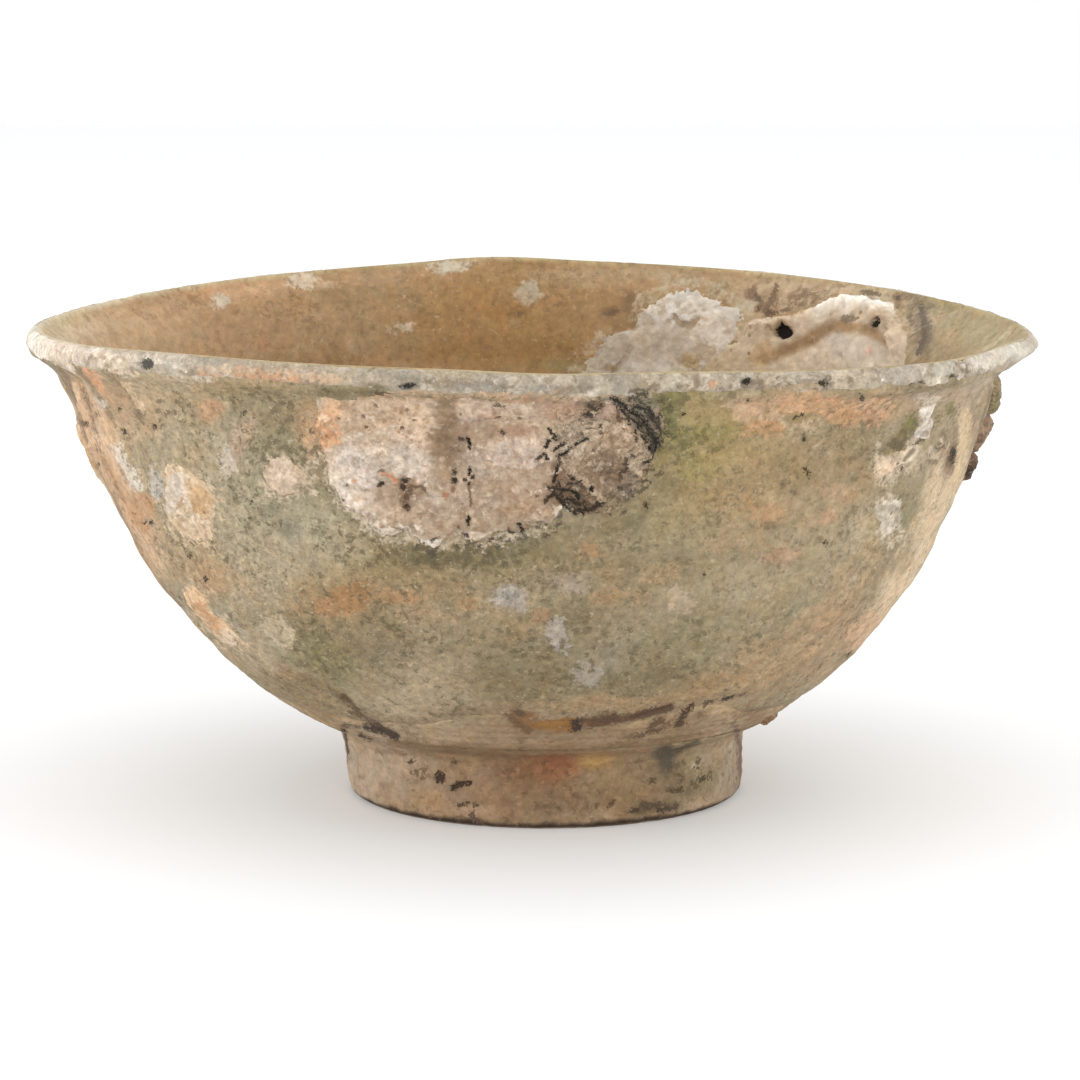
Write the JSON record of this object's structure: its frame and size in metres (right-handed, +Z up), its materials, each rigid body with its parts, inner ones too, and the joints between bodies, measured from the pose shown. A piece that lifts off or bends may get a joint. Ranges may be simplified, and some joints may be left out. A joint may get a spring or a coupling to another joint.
{
  "type": "footed bowl",
  "caption": "Round footed stoneware bowl with a flared lip, worn glaze and grown-on lime and shell crusts, warped in firing; holds food and stands on a ring foot.",
  "frame": {"origin": "on the table under the middle of the rim", "axes": "+Z up through the bowl, the face with the large crust looks along -Y"},
  "size_m": [0.1709, 0.171, 0.0834],
  "materials": {
    "clay": "bare fired stoneware, buff to pink, matte, pitted",
    "outside_glaze": "grey-green glaze worn dull and grainy, with orange, olive and pale blotches",
    "inside_glaze": "amber to olive glaze, satin, finely speckled",
    "lime_crust": "chalky grey-white lime, dry and rough",
    "coral_crust": "pink-cream coral crust, granular and dry",
    "shell": "brown to black-edged shell, layered and rough"
  },
  "bodies": {
    "root": {"bowl_body": "clay", "foot_ring": "clay", "outside_glaze": "outside_glaze", "inside_glaze": "inside_glaze", "front_coral_crust": "coral_crust", "inside_worm_crust": "coral_crust", "left_edge_crust": "coral_crust", "left_upper_patch": "coral_crust", "front_left_patch": "coral_crust", "left_lower_patch": "coral_crust", "right_middle_patch": "coral_crust", "back_coral_crust": "coral_crust", "back_low_patch": "coral_crust", "lip_lime_crust": "lime_crust", "inside_coral_crust": "lime_crust", "right_upper_patch": "lime_crust", "right_lower_patch": "lime_crust", "back_left_patch": "lime_crust", "front_oyster_shell": "shell", "right_shell_upper": "shell", "right_shell_middle": "shell", "right_shell_lower": "shell", "foot_lump": "shell"}
  },
  "joints": []
}
